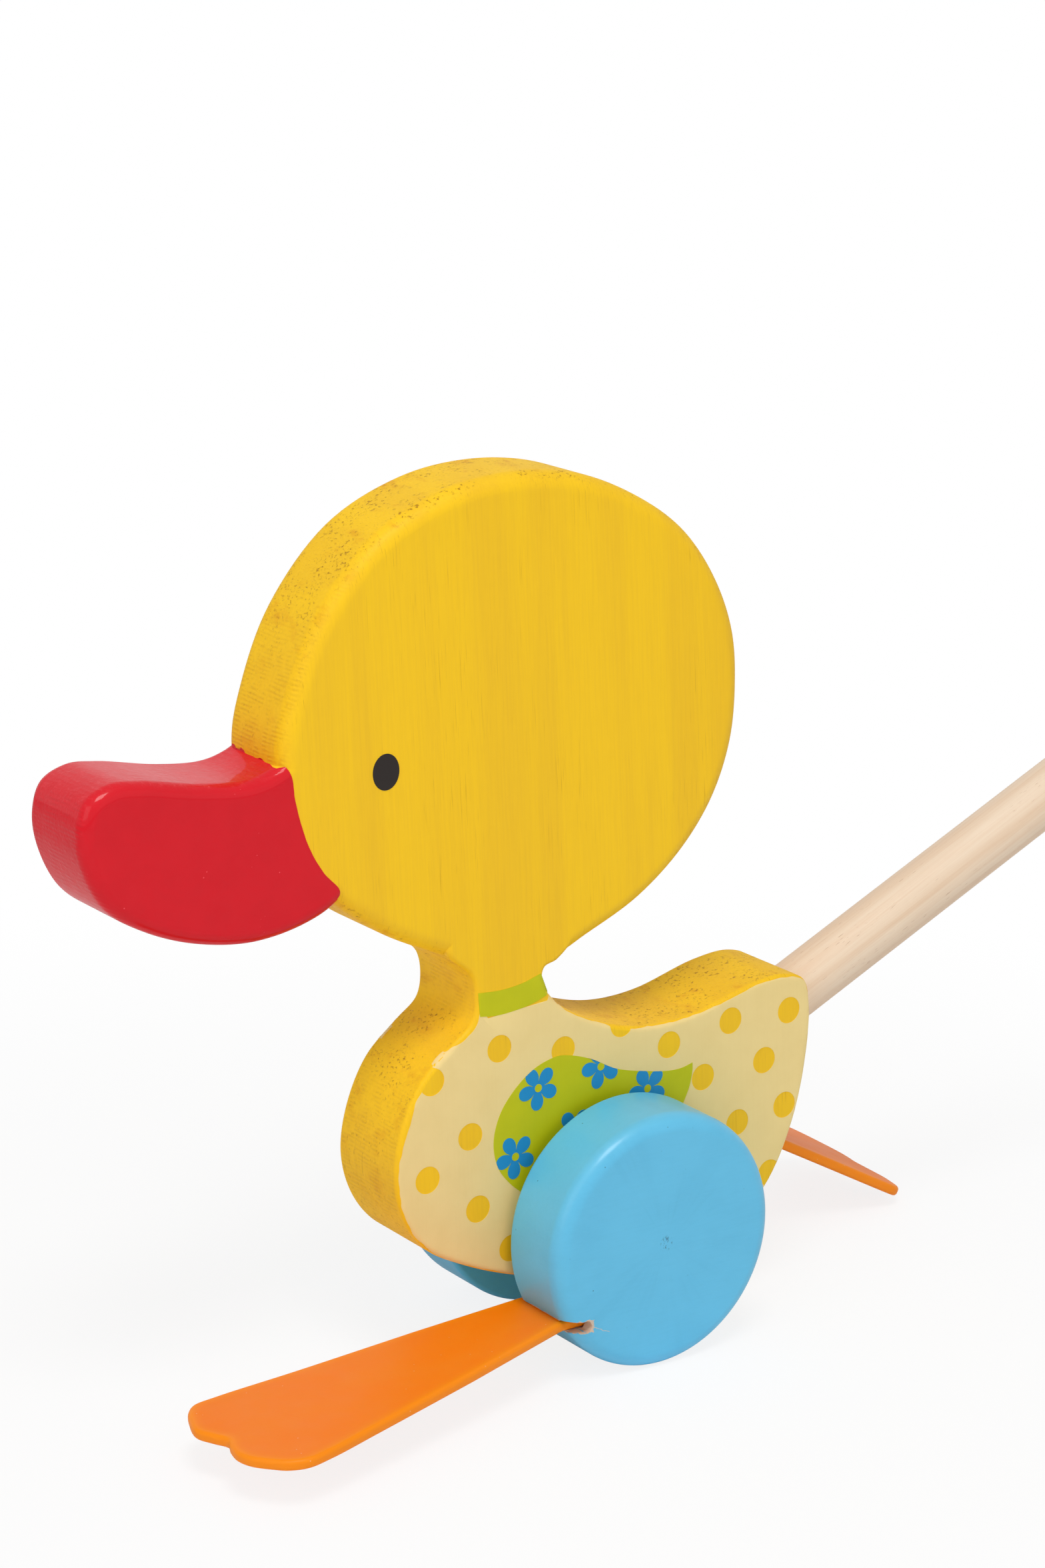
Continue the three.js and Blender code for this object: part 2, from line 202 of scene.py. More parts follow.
class Net:
    """Builds a node tree: one method makes any node, its settings first and then its sockets."""

    def __init__(self, tree):
        self.tree = tree

    def node(self, kind, inputs=None, **settings):
        made = self.tree.nodes.new(kind)
        for name, value in settings.items():
            setattr(made, name, value)
        for key, value in (inputs or {}).items():
            self.feed(made.inputs[key], value)
        return made

    def feed(self, socket, value):
        """Links a number, another socket or a node's first output, or sets a constant."""
        if isinstance(value, Value):
            value = value.socket
        if isinstance(value, bpy.types.Node):
            value = value.outputs[0]
        if isinstance(value, bpy.types.NodeSocket):
            self.tree.links.new(value, socket)
        else:
            socket.default_value = value

    def number(self, kind, inputs=None, output=0, **settings):
        """The number that a new node gives."""
        return Value(self, self.node(kind, inputs, **settings).outputs[output])

    def maths(self, operation, *inputs):
        return self.number("ShaderNodeMath", dict(enumerate(inputs)), operation=operation)

    def apart(self, vector):
        """The three numbers of a vector."""
        made = self.node("ShaderNodeSeparateXYZ", {0: vector})
        return [Value(self, made.outputs[axis]) for axis in range(3)]

    def place(self, size=(1, 1, 1), turn=(0, 0, 0), shift=(0, 0, 0)):
        """Object coordinates, turned and then divided by a feature's size in millimetres."""
        where = self.node("ShaderNodeTexCoord").outputs["Object"]
        return self.node("ShaderNodeMapping", {
            "Vector": where, "Rotation": turn, "Location": [s * MM for s in shift],
            "Scale": [s * MM for s in size],
        }, vector_type="TEXTURE")

    def place_from_axle(self):
        """Millimetres from the axle's middle."""
        return self.place(shift=[place / MM for place in AXLE])

    def parts(self):
        """Object coordinates in millimetres as three numbers."""
        return self.apart(self.place())

    def facing(self):
        """The object-space normal as three numbers."""
        return self.apart(self.node("ShaderNodeTexCoord").outputs["Normal"])

    def noise(self, size, detail=2.0, roughness=0.5, turn=(0, 0, 0), shift=(0, 0, 0)):
        return self.number("ShaderNodeTexNoise", {
            "Vector": self.place(size, turn, shift), "Scale": 1.0, "Detail": detail,
            "Roughness": roughness,
        })

    def cells(self, size):
        """Distance to the nearest of many scattered points."""
        return self.number(
            "ShaderNodeTexVoronoi", {"Vector": self.place(size), "Scale": 1.0}, "Distance")

    def rays(self, count):
        """Streaks that run out from the axle, such as sanding leaves on a turned face."""
        flat = self.node(
            "ShaderNodeVectorMath", {0: self.place_from_axle(), 1: (1, 0, 1)}, operation="MULTIPLY")
        out = self.node("ShaderNodeVectorMath", {0: flat}, operation="NORMALIZE")
        return self.number("ShaderNodeTexNoise", {
            "Vector": out, "Scale": float(count), "Detail": 3.0, "Roughness": 0.6,
        })

    def attribute(self, name):
        return self.number("ShaderNodeAttribute", output="Fac", attribute_name=name)

    def mix(self, share, under, over):
        """A colour part way from one to another."""
        made = self.node("ShaderNodeMix", {0: share, 6: under, 7: over}, data_type="RGBA")
        return made.outputs[2]


def linear(rgb):
    """A colour typed as 0 to 255 in sRGB, as a shader's linear colour."""
    def channel(c):
        c = c / 255
        return c / 12.92 if c <= 0.04045 else ((c + 0.055) / 1.055) ** 2.4
    return tuple(channel(c) for c in rgb) + (1.0,)


def material(name, colour, roughness, height, depth, **constants):
    """A Principled finish: colour, roughness and height come as functions of the net."""
    made = bpy.data.materials.new(name)
    made.use_nodes = True
    net = Net(made.node_tree)
    shader = made.node_tree.nodes["Principled BSDF"]
    for socket, value in constants.items():
        shader.inputs[socket.replace("_", " ")].default_value = value
    net.feed(shader.inputs["Base Color"], colour(net))
    net.feed(shader.inputs["Roughness"], roughness(net))
    bump = net.node("ShaderNodeBump", {
        "Height": height(net), "Strength": 1.0, "Distance": depth * MM,
    })
    net.feed(shader.inputs["Normal"], bump)
    return made


# Finishes

RED = "painted red wood"


def side_mask(net):
    """1 on the sawn edge of the board and 0 on its two faces."""
    return abs(net.parts()[1]).between(11.9, FACE_START)


def end_grain(net):
    """1 where the sawn edge cuts across the grain."""
    return abs(net.facing()[2]).between(0.25, 0.75)


def grain(net):
    """The board's long fibres, which show on its faces."""
    return net.noise((0.45, 0.9, 16), 4, 0.65, (0, GRAIN_LEAN, 0))


def pits(net):
    """1 in the small open pores of the sawn edge, which come in clusters."""
    pores = net.noise((0.95, 0.8, 0.6), 3, 0.65).between(0.57, 0.68)
    return pores * net.noise((8, 7, 6), 2).between(0.36, 0.6)


def ripples(net):
    """Faint ridges that the saw left across the board's thickness."""
    x, y, z = net.parts()
    wander = net.noise((6, 14, 6), 2)
    wave = ((z * 6.4 + x * 2.0) + wander * 9.0).maths("SINE")
    return (wave * 0.5 + 0.5) * net.noise((3, 2.5, 3), 2).between(0.35, 0.65)


def yellow_paint(colours):
    """Brushed paint with the grain telling through it; the sawn edge is golden and pitted."""
    lit, deep, golden, stain = map(linear, colours)

    def colour(net):
        streaks = grain(net).between(0.38, 0.66)
        bands = net.noise((9, 30, 240), 2, 0.5, (0, GRAIN_LEAN, 0)).between(0.38, 0.62)
        face = net.mix(streaks * 0.15 + bands * 0.24, lit, deep)
        patches = net.noise((13, 20, 32), 2, 0.5, shift=(40, 3, 11)).between(0.42, 0.62)
        lines = net.noise((0.2, 0.8, 15), 2, 0.5, (0, GRAIN_LEAN, 0), (5, 0, 3)).between(0.62, 0.73)
        face = net.mix(lines * patches * 0.45, face, stain)
        side = side_mask(net)
        across = end_grain(net)
        blotch = net.noise((5, 9, 6), 4, 0.65, shift=(7, 1, 2)).between(0.52, 0.78)
        face = net.mix(side * blotch * (0.5 + across * 0.3), face, golden)
        dark = pits(net) * side * (0.2 + across * 0.5)
        face = net.mix(dark, face, stain)
        return net.mix(side * ripples(net) * (1 - across) * 0.14, face, stain)

    def roughness(net):
        return 0.46 + grain(net) * 0.14 + side_mask(net) * 0.1

    def height(net):
        side = side_mask(net)
        across = end_grain(net)
        rough = net.noise((0.5, 0.6, 0.5), 4, 0.65)
        face = grain(net) * 0.16
        edge = rough * (0.25 + across * 0.4) - pits(net) * (0.15 + across * 0.7)
        return face + side * (edge + ripples(net) * (1 - across * 0.8) * 0.35)

    return material("painted yellow wood", colour, roughness, height, 0.16, Coat_Weight=0.04,
                    Coat_Roughness=0.3, Specular_IOR_Level=0.25)


def red_paint(colours):
    """Gloss paint, scuffed on the sawn edge, with a few pale specks; where the sawn edge faces up,
    its pale red is a painted sheen from the light above.
    """
    lit, deep, pale = map(linear, colours)

    def colour(net):
        soft = net.noise((7, 7, 7), 3, 0.6).between(0.35, 0.7)
        base = net.mix(soft * 0.16, lit, deep)
        side = side_mask(net)
        brushed = net.noise((0.8, 2.4, 0.9), 4, 0.7).between(0.5, 0.74)
        # Painted sheen: upward-facing parts of the sawn edge take more of the pale red, on top of the
        # real rubbed paint there
        top = net.facing()[2].between(0.1, 0.8)
        base = net.mix(side * brushed * (0.03 + top * 0.2), base, pale)
        specks = net.cells((1.9, 1.9, 1.9)).between(0.1, 0.05)
        specks = specks * net.noise((9, 9, 9), 1).between(0.55, 0.7)
        return net.mix(specks * 0.8, base, pale)

    def roughness(net):
        return 0.34 + side_mask(net) * 0.16 * net.noise((1.2, 2, 1.2), 3)

    def height(net):
        side = side_mask(net)
        rough = net.noise((0.7, 0.9, 0.7), 4, 0.6) * (0.06 + side * 0.6)
        return rough + side * ripples(net) * 0.5

    return material(RED, colour, roughness, height, 0.14, Coat_Weight=0.32,
                    Coat_Roughness=0.07, Specular_IOR_Level=0.06)


def print_ink(name, base, shade, gloss=0.5):
    """A flat printed film, a little mottled, with the board's grain telling through it."""
    base, shade = linear(base), linear(shade)

    def colour(net):
        mottle = net.noise((9, 9, 9), 3, 0.6).between(0.3, 0.75)
        fine = grain(net).between(0.42, 0.7)
        return net.mix(mottle * 0.4 + fine * 0.1, base, shade)

    def roughness(net):
        return gloss + net.noise((4, 4, 4), 2) * 0.1

    def height(net):
        return grain(net) * 0.25 + net.noise((0.8, 0.8, 0.8), 2) * 0.3

    return material(name, colour, roughness, height, 0.04, Specular_IOR_Level=0.25)


def blue_paint(colours):
    """Satin paint on turned wood: clouds, sanding streaks, dust and the chips at the slot."""
    lit, deep, speck, wood = map(linear, colours)

    def chipped(net):
        """Bare wood where the saw broke the paint at the slot's mouth, with hairline cracks."""
        x, y, z = net.apart(net.place_from_axle())
        ragged = net.noise((0.9, 2.5, 0.9), 3, 0.6) * 1.3
        wheel = settings().wheel
        lip = abs(abs(z) - wheel.slot_offset / MM) < ragged + 0.95
        crack = abs(abs(z) - wheel.slot_offset / MM - 0.9 + (abs(x) - 20) * 0.5 + ragged) < 0.09
        near = abs(x) > 19.2 + ragged
        far = (abs(x) > 15.5) * (abs(x) < 20.5)
        return (x * y > 0) * (z * y > 0) * (lip * near).maths("MAXIMUM", crack * far * 0.75)

    def colour(net):
        cloud = net.noise((14, 14, 14), 3, 0.55).between(0.3, 0.72)
        fibre = net.noise((7, 0.9, 0.6), 3, 0.6).between(0.4, 0.7)
        rays = net.rays(9).between(0.42, 0.7) * cloud
        base = net.mix(cloud * 0.3 + fibre * 0.14 + rays * 0.24, lit, deep)
        base = net.mix(chipped(net), base, wood)
        dots = net.cells((2.6, 2.6, 2.6)).between(0.085, 0.05)
        dots = dots * net.noise((8, 8, 8), 1, shift=(3, 0, 9)).between(0.56, 0.66)
        x, y, z = net.apart(net.place_from_axle())
        centre = (x * x + z * z).maths("SQRT").between(2.2, 0.9)
        centre = centre * net.noise((0.5, 0.9, 0.8), 2, shift=(1, 4, 2)).between(0.55, 0.63)
        return net.mix(dots.maths("MAXIMUM", centre) * 0.7, base, speck)

    def roughness(net):
        return 0.36 + net.noise((5, 5, 5), 3) * 0.1

    def height(net):
        return net.noise((0.9, 0.9, 0.9), 3, 0.55) * 0.5 + net.rays(14) * 0.4

    return material("painted blue wood", colour, roughness, height, 0.05, Coat_Weight=0.28,
                    Coat_Roughness=0.2, Specular_IOR_Level=0.35)


def bare_wood(name, colours, turn):
    """Clear-coated straight-grained wood; the grain runs along the turned Z axis."""
    pale, warm, fleck = map(linear, colours)

    def streaks(net):
        return net.noise((0.5, 0.5, 26), 4, 0.65, turn)

    def colour(net):
        rings = net.noise((2.6, 2.6, 130), 3, 0.55, turn).between(0.34, 0.66)
        base = net.mix(rings * 0.55 + streaks(net).between(0.35, 0.7) * 0.35, pale, warm)
        ticks = net.noise((0.22, 0.22, 2.6), 1, 0.5, turn).between(0.66, 0.75)
        where = net.noise((2.2, 2.2, 40), 2, 0.5, turn, (3, 5, 1)).between(0.46, 0.62)
        return net.mix(ticks * where * 0.55, base, fleck)

    def roughness(net):
        return 0.44 + streaks(net) * 0.16

    def height(net):
        return streaks(net) * 0.7 + net.noise((0.3, 0.3, 3), 2, 0.5, turn) * 0.3

    return material(name, colour, roughness, height, 0.05, Coat_Weight=0.1, Coat_Roughness=0.3)


def rubber(colours):
    """Moulded rubber, cloudy and a little dusty; its thin edge is painted lighter, standing in for
    light shining through the rubber.
    """
    middle, edge, bloom, dusty = map(linear, colours)

    def colour(net):
        rim = net.attribute("rim")
        cloud = net.noise((16, 12, 16), 3, 0.55).between(0.32, 0.7)
        base = net.mix(cloud * 0.4, middle, bloom)
        # Painted light: the rounded edge is made lighter, standing in for light that shines through
        # the thin rubber
        base = net.mix(rim * 0.8, base, edge)
        dust = net.cells((2.1, 2.1, 2.1)).between(0.09, 0.04)
        dust = dust * net.noise((11, 11, 11), 2, shift=(2, 2, 8)).between(0.48, 0.62)
        return net.mix(dust * 0.55, base, dusty)

    def roughness(net):
        return 0.4 + net.noise((6, 6, 6), 3) * 0.16

    def height(net):
        return net.noise((0.7, 0.7, 0.7), 3, 0.6) * 0.5 + net.noise((5, 5, 5), 2) * 0.5

    return material("orange rubber", colour, roughness, height, 0.05, Subsurface_Weight=0.05,
                    Subsurface_Scale=0.004, Specular_IOR_Level=0.25)


# Shapes

def curve_through(points, steps, closed=False):
    """Points on a centripetal Catmull-Rom curve through the given points."""
    spots = [Vector(p) for p in points]
    count = len(spots)
    made = []
    for i in range(count if closed else count - 1):
        a, b = spots[i], spots[(i + 1) % count]
        before = spots[i - 1] if closed or i else 2 * a - b
        after = spots[(i + 2) % count] if closed or i + 2 < count else 2 * b - a
        d0, d1, d2 = ((q - p).length ** 0.5 for p, q in ((before, a), (a, b), (b, after)))
        t1 = ((a - before) / d0 - (b - before) / (d0 + d1) + (b - a) / d1) * d1
        t2 = ((b - a) / d1 - (after - a) / (d1 + d2) + (after - b) / d2) * d1
        for k in range(steps):
            t = k / steps
            made.append(a + t1 * t + (3 * (b - a) - 2 * t1 - t2) * t ** 2
                        + (2 * (a - b) + t1 + t2) * t ** 3)
    if not closed:
        made.append(spots[-1])
    return made


def scaled(shares, left, bottom, length, height):
    """A sawn outline from its shares."""
    return curve_through([(left + x * length, bottom + z * height) for x, z in shares], 8, True)


def signed_area(loop):
    return sum(a.cross(b) for a, b in zip(loop, loop[1:] + loop[:1])) / 2


def inset(loop, distance):
    """A closed anticlockwise loop moved inwards."""
    made = []
    for before, here, after in zip(loop[-1:] + loop[:-1], loop, loop[1:] + loop[:1]):
        one, two = (here - before).normalized(), (after - here).normalized()
        across = Vector((-one.y - two.y, one.x + two.x)).normalized()
        reach = max(across.dot(Vector((-one.y, one.x))), 0.35)
        made.append(here + across * distance / reach)
    return made


def stacked(rings):
    """A closed mesh through rings of points that have one count, capped with one face each end."""
    mesh = bmesh.new()
    rows = [[mesh.verts.new(p) for p in ring] for ring in rings]
    for low, high in zip(rows, rows[1:]):
        for i in range(len(low)):
            j = (i + 1) % len(low)
            mesh.faces.new((low[i], low[j], high[j], high[i]))
    mesh.faces.new(rows[0][::-1])
    mesh.faces.new(rows[-1])
    bmesh.ops.recalc_face_normals(mesh, faces=mesh.faces)
    return mesh


def linked(name, data):
    """A new object in the scene."""
    made = bpy.data.objects.new(name, data)
    bpy.context.scene.collection.objects.link(made)
    return made


def to_object(mesh, name="work"):
    data = bpy.data.meshes.new(name)
    mesh.to_mesh(data)
    mesh.free()
    return linked(name, data)


def rotation(degrees, axis):
    return Matrix.Rotation(math.radians(degrees), 4, axis)


def rounded_edge(radius, half, steps):
    """How far in and how far out from the middle each ring of a rounded edge lies, face first."""
    turns = [math.radians(90) * k / steps for k in range(steps + 1)]
    return [(radius * (1 - math.sin(t)), half - radius * (1 - math.cos(t))) for t in turns]


def evaluated(obj):
    """A plain mesh of an object with its modifiers worked in."""
    bpy.context.view_layer.update()
    graph = bpy.context.evaluated_depsgraph_get()
    return bpy.data.meshes.new_from_object(obj.evaluated_get(graph))


def discard(*objects):
    for obj in objects:
        bpy.data.objects.remove(obj)


def cut(obj, *steps):
    """Works boolean steps, each an operation and the other object, into a new object."""
    for operation, other in steps:
        modifier = obj.modifiers.new("cut", "BOOLEAN")
        modifier.operation = operation
        modifier.solver = "EXACT"
        modifier.object = other
    made = linked(obj.name, evaluated(obj))
    obj.modifiers.clear()
    return made


def board_slab(loop, edge_round):
    """An outline sawn from the board, with rounded edges, in toy millimetres."""
    half = board().thickness / MM / 2
    loop = loop if signed_area(loop) > 0 else loop[::-1]
    rows = rounded_edge(edge_round, half, 6)
    rings = [[(p.x, -y, p.y) for p in inset(loop, d)] for d, y in rows]
    rings += [[(p.x, y, p.y) for p in inset(loop, d)] for d, y in reversed(rows)]
    return stacked([[to_frame(p) for p in ring] for ring in rings])


def to_frame(point):
    """Toy millimetres, measured from under the axle's middle, to the frame's metres."""
    return Vector((AXLE.x + point[0] * MM, AXLE.y + point[1] * MM, point[2] * MM))


def finish_piece(obj, name, body, finish, nodes=()):
    """Names a piece, shades it smooth but for its sharp edges, and hands it to the frame."""
    obj.name = name
    obj.data.name = name
    obj.data.materials.clear()
    obj.data.materials.append(finish)
    for face in obj.data.polygons:
        face.material_index = 0
    obj.data.shade_smooth()
    obj.data.set_sharp_from_angle(angle=SHARP_FROM)
    weigh = obj.modifiers.new("flat faces stay flat", "WEIGHTED_NORMAL")
    weigh.keep_sharp = True
    weigh.weight = 80
    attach(obj, body)
    if nodes:
        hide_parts(*nodes)


# Node trees for geometry

def tree_with(name, sockets):
    """A net for a new geometry node tree, and what it is given, by name."""
    tree = bpy.data.node_groups.new(name, "GeometryNodeTree")
    tree.interface.new_socket("Geometry", in_out="OUTPUT", socket_type="NodeSocketGeometry")
    tree.interface.new_socket("Geometry", in_out="INPUT", socket_type="NodeSocketGeometry")
    for label, kind, default in sockets:
        made = tree.interface.new_socket(label, in_out="INPUT", socket_type=kind)
        if default is not None:
            made.default_value = default
    net = Net(tree)
    given = net.node("NodeGroupInput").outputs
    return net, {socket.name: Value(net, socket) for socket in given if socket.name}


def end_tree(net, geometry, finish):
    whole = net.node("GeometryNodeRealizeInstances", {0: geometry})
    painted = net.node("GeometryNodeSetMaterial", {0: whole, "Material": finish})
    net.node("NodeGroupOutput", {0: painted})


def worked(tree, values, start=None):
    """The mesh that a geometry node tree makes from named inputs."""
    holder = start or to_object(bmesh.new())
    modifier = holder.modifiers.new("work", "NODES")
    modifier.node_group = tree
    for item in tree.interface.items_tree:
        if item.in_out == "INPUT" and item.name in values:
            modifier[item.identifier] = values[item.name]
    mesh = evaluated(holder)
    holder.modifiers.remove(modifier)
    discard(holder)
    return linked("work", mesh)


LATHE = "turned wood"


def turned_tree():
    """A solid turned on a lathe about Z, from zero down to its length, with two rounded rims."""
    net, given = tree_with(LATHE, (
        ("Radius", "NodeSocketFloat", 0.03), ("Length", "NodeSocketFloat", 0.019),
        ("Start Round", "NodeSocketFloat", 0.001), ("End Round", "NodeSocketFloat", 0.004),
        ("Round Steps", "NodeSocketInt", 10), ("Segments", "NodeSocketInt", 128),
        ("Finish", "NodeSocketMaterial", None),
    ))
    radius, length = given["Radius"], given["Length"]
    index = net.number("GeometryNodeInputIndex")
    line = net.node("GeometryNodeMeshLine", {"Count": 4}, mode="OFFSET")
    out = (index > 0.5) * (index < 2.5)
    profile = net.node("ShaderNodeCombineXYZ", {
        "X": out * radius - radius * 0.5, "Y": (index > 1.5) * length,
    })
    placed = net.node("GeometryNodeSetPosition", {
        "Geometry": line, "Position": profile,
    })
    curve = net.node("GeometryNodeMeshToCurve", {0: placed})
    start = (index > 0.5) * (index < 1.5) * given["Start Round"]
    end = (index > 1.5) * (index < 2.5) * given["End Round"]
    rounded = net.node("GeometryNodeFilletCurve", {
        "Curve": curve, "Count": given["Round Steps"], "Radius": start + end,
        "Limit Radius": True,
    }, mode="POLY")
    path = net.node("GeometryNodeCurvePrimitiveCircle", {
        "Resolution": given["Segments"], "Radius": radius * 0.5,
    }, mode="RADIUS")
    skin = net.node("GeometryNodeCurveToMesh", {
        "Curve": path, "Profile Curve": rounded,
    })
    whole = net.node("GeometryNodeMergeByDistance", {
        "Geometry": skin, "Distance": WELD,
    })
    end_tree(net, whole, given["Finish"])
    return net.tree


def turned(radius, length, rounds=(0.0, 0.0), segments=64, steps=10):
    """A solid from the lathe's tree, its rims rounded at the start and at the end."""
    return worked(bpy.data.node_groups.get(LATHE) or turned_tree(), {
        "Radius": radius, "Length": length, "Start Round": rounds[0], "End Round": rounds[1],
        "Segments": segments, "Round Steps": steps,
    })


def flower_tree():
    """Printed flowers stood on points; with Notch and Reach alike they are round spots."""
    net, given = tree_with("printed flowers", (
        ("Reach", "NodeSocketFloat", 0.005), ("Notch", "NodeSocketFloat", 0.0024),
        ("Petals", "NodeSocketInt", 5), ("Thickness", "NodeSocketFloat", 0.0003),
        ("Finish", "NodeSocketMaterial", None),
    ))
    index = net.number("GeometryNodeInputIndex")
    count = 120
    ring = net.node("GeometryNodeMeshCircle", {"Vertices": count, "Radius": 1.0}, fill_type="NGON")
    angle = index * (2 * math.pi / count)
    notch = given["Notch"]
    swing = abs((angle * given["Petals"] * 0.5).maths("COSINE")) ** 0.55
    reach = notch + (given["Reach"] - notch) * swing
    shape = net.node("ShaderNodeCombineXYZ", {
        "X": reach * angle.maths("COSINE"), "Y": given["Thickness"] * 0.5,
        "Z": reach * angle.maths("SINE"),
    })
    flat = net.node("GeometryNodeSetPosition", {
        "Geometry": ring, "Position": shape,
    })
    thick = net.node("GeometryNodeExtrudeMesh", {
        "Mesh": flat, "Offset Scale": given["Thickness"], "Individual": False,
    })
    both = net.node("GeometryNodeJoinGeometry")
    net.feed(both.inputs[0], thick)
    net.feed(both.inputs[0], net.node("GeometryNodeFlipFaces", {0: flat}))
    solid = net.node("GeometryNodeMergeByDistance", {0: both, "Distance": WELD})
    turn = net.node(
        "GeometryNodeInputNamedAttribute", {"Name": "turn"}, data_type="FLOAT_VECTOR")
    spread = net.node("GeometryNodeInstanceOnPoints", {
        "Points": given["Geometry"], "Instance": solid, "Rotation": turn,
    })
    end_tree(net, spread, given["Finish"])
    return net.tree


# Settings

def size_mm(name, description, millimetres):
    """A length, typed here in millimetres and kept in metres."""
    return bpy.props.FloatProperty(
        name=name, description=description, default=millimetres * MM, min=0, subtype="DISTANCE",
        unit="LENGTH", precision=4,
    )


def angle_of(name, description, degrees):
    return bpy.props.FloatProperty(
        name=name, description=description, default=math.radians(degrees), subtype="ANGLE",
    )


def number(name, description, default, unit):
    return bpy.props.FloatProperty(
        name=name, description=description, default=default, min=0, unit=unit,
    )


def paint(name, description, rgb):
    """A colour from 0 to 255 in sRGB."""
    return bpy.props.IntVectorProperty(
        name=name, description=description, default=rgb, size=3, min=0, max=255,
    )


def group(kind, name, description):
    return bpy.props.PointerProperty(type=kind, name=name, description=description)


class BoardSettings(bpy.types.PropertyGroup):
    """Sizes and paints of the sawn board"""
    thickness: size_mm("Thickness", "Thickness of the board", 24)
    body_length: size_mm("Body length", "From breast to tail", 115.5)
    body_front: size_mm("Body front", "How far the breast lies ahead of the axle", 58.5)
    body_height: size_mm("Body height", "From the belly to the top of the back", 65.4)
    clearance: size_mm("Clearance", "Height of the belly above the ground", 13.4)
    neck_rise: size_mm("Neck rise", "From the top of the back to the underside of the head", 15.2)
    head_length: size_mm("Head length", "From the forehead to the nape", 121)
    head_front: size_mm("Head front", "How far the forehead lies ahead of the axle", 86.3)
    head_height: size_mm("Head height", "From the neck to the crown", 111)
    beak_length: size_mm("Beak length", "With the root that is buried in the head", 71.6)
    beak_front: size_mm("Beak reach", "How far the beak stands out of the forehead", 47.3)
    beak_height: size_mm("Beak height", "Of the sawn outline", 39.3)
    beak_rise: size_mm("Beak rise", "From the underside of the head to that of the beak", 17)
    head_round: size_mm("Head round", "Radius of the head's edges", 4)
    beak_round: size_mm("Beak round", "Radius of the beak's edges", 3)
    body_round: size_mm("Body round", "Radius of the body's edges", 1.2)
    paint_step: size_mm("Paint step", "How far the red paint stands over the yellow", 0.15)
    yellow: paint("Yellow", "Paint of the head and body", (253, 203, 20))
    yellow_deep: paint("Deep yellow", "Where the grain shows through", (231, 177, 36))
    golden: paint("Golden", "Thick paint on the sawn edge", (226, 152, 4))
    stain: paint("Stain", "Brown of the open grain", (164, 92, 6))
    red: paint("Red", "Paint of the beak", (218, 18, 34))
    red_deep: paint("Deep red", "Thicker paint of the beak", (198, 14, 28))
    # This pale red is also the painted sheen on the upward-facing parts of the beak's sawn edge,
    # besides the rubbed paint and specks
    red_scuff_and_sheen: paint("Scuffed red", "Rubbed paint on the beak's sawn edge", (246, 96, 104))


class PrintSettings(bpy.types.PropertyGroup):
    """Sizes and inks of the print on both faces"""
    film: size_mm("Film", "Thickness of one layer of ink", 0.07)
    dot_radius: size_mm("Dot radius", "Radius of the dots left open", 3.2)
    flower_reach: size_mm("Flower reach", "From a flower's middle to a petal's tip", 5.3)
    flower_notch: size_mm("Flower notch", "From a flower's middle to the notch between petals", 1.4)
    flower_eye: size_mm("Flower middle", "Radius of the open middle of a flower", 0.95)
    eye_width: size_mm("Eye width", "Width of the eye", 6.7)
    eye_height: size_mm("Eye height", "Height of the eye", 8.1)
    cream: paint("Cream", "Ink of the dotted panel", (246, 220, 150))
    cream_deep: paint("Deep cream", "Mottling of the panel", (238, 210, 138))
    green: paint("Green", "Ink of the wing and collar", (200, 200, 8))
    green_deep: paint("Deep green", "Mottling of the green", (188, 190, 6))
    blue: paint("Flower blue", "Ink of the flowers", (34, 146, 204))
    blue_deep: paint("Deep flower blue", "Mottling of the flowers", (30, 132, 192))
    black: paint("Black", "Ink of the eyes", (40, 33, 30))


class WheelSettings(bpy.types.PropertyGroup):
    """Sizes and paint of the wheels and their axle"""
    diameter: size_mm("Diameter", "Across a wheel", 60)
    thickness: size_mm("Thickness", "Of a wheel", 19)
    outer_round: size_mm("Outer round", "Radius of the outer rim", 3.8)
    inner_round: size_mm("Inner round", "Radius of the inner rim", 1.2)
    side_gap: size_mm("Side gap", "Between a wheel and the board", 2.4)
    axle_diameter: size_mm("Axle diameter", "Of the dowel through the board", 10)
    axle_seat: size_mm("Axle seat", "How deep the axle sits in each wheel", 13)
    slot_offset: size_mm("Slot offset", "From the axle to the middle of the foot's slot", 15.3)
    slot_mouth: size_mm("Slot mouth", "How far the slot has broken into the outer face", 5.5)
    blue: paint("Blue", "Paint of the wheels", (98, 196, 236))
    blue_deep: paint("Deep blue", "Where the grain shows through", (88, 184, 224))
    speck: paint("Speck", "Dust under the paint", (40, 96, 130))
    wood: paint("Wood", "Bare wood in the slot and at its chipped mouth", (214, 190, 168))


class FootSettings(bpy.types.PropertyGroup):
    """Sizes and colours of the rubber feet"""
    length: size_mm("Length", "From the slot's mouth to the toes, and the tongue", 103.5)
    width: size_mm("Width", "Across the toes", 38.9)
    thickness: size_mm("Thickness", "Of the rubber", 2.5)
    edge_round: size_mm("Edge round", "Radius of the moulded edge", 0.9)
    bend: size_mm("Bend radius", "Radius of the bend at the rim", 25)
    left_tongue: size_mm("Left tongue", "How deep the left foot sits in its slot", 12)
    right_tongue: size_mm("Right tongue", "How deep the right foot sits in its slot", 6)
    left_droop: angle_of("Left droop", "How far the left foot hangs", 3)
    right_droop: angle_of("Right droop", "How far the right foot hangs", 29)
    right_twist: angle_of("Right twist", "How far the right foot's outer side is lifted", 4)
    orange: paint("Orange", "Middle of the foot", (252, 127, 0))
    edge: paint("Edge orange", "Thin edge, where light gets in", (255, 146, 0))
    bloom: paint("Bloom", "Paler cloudy patches", (250, 136, 22))
    dust: paint("Dust", "Fine pale specks", (255, 214, 170))


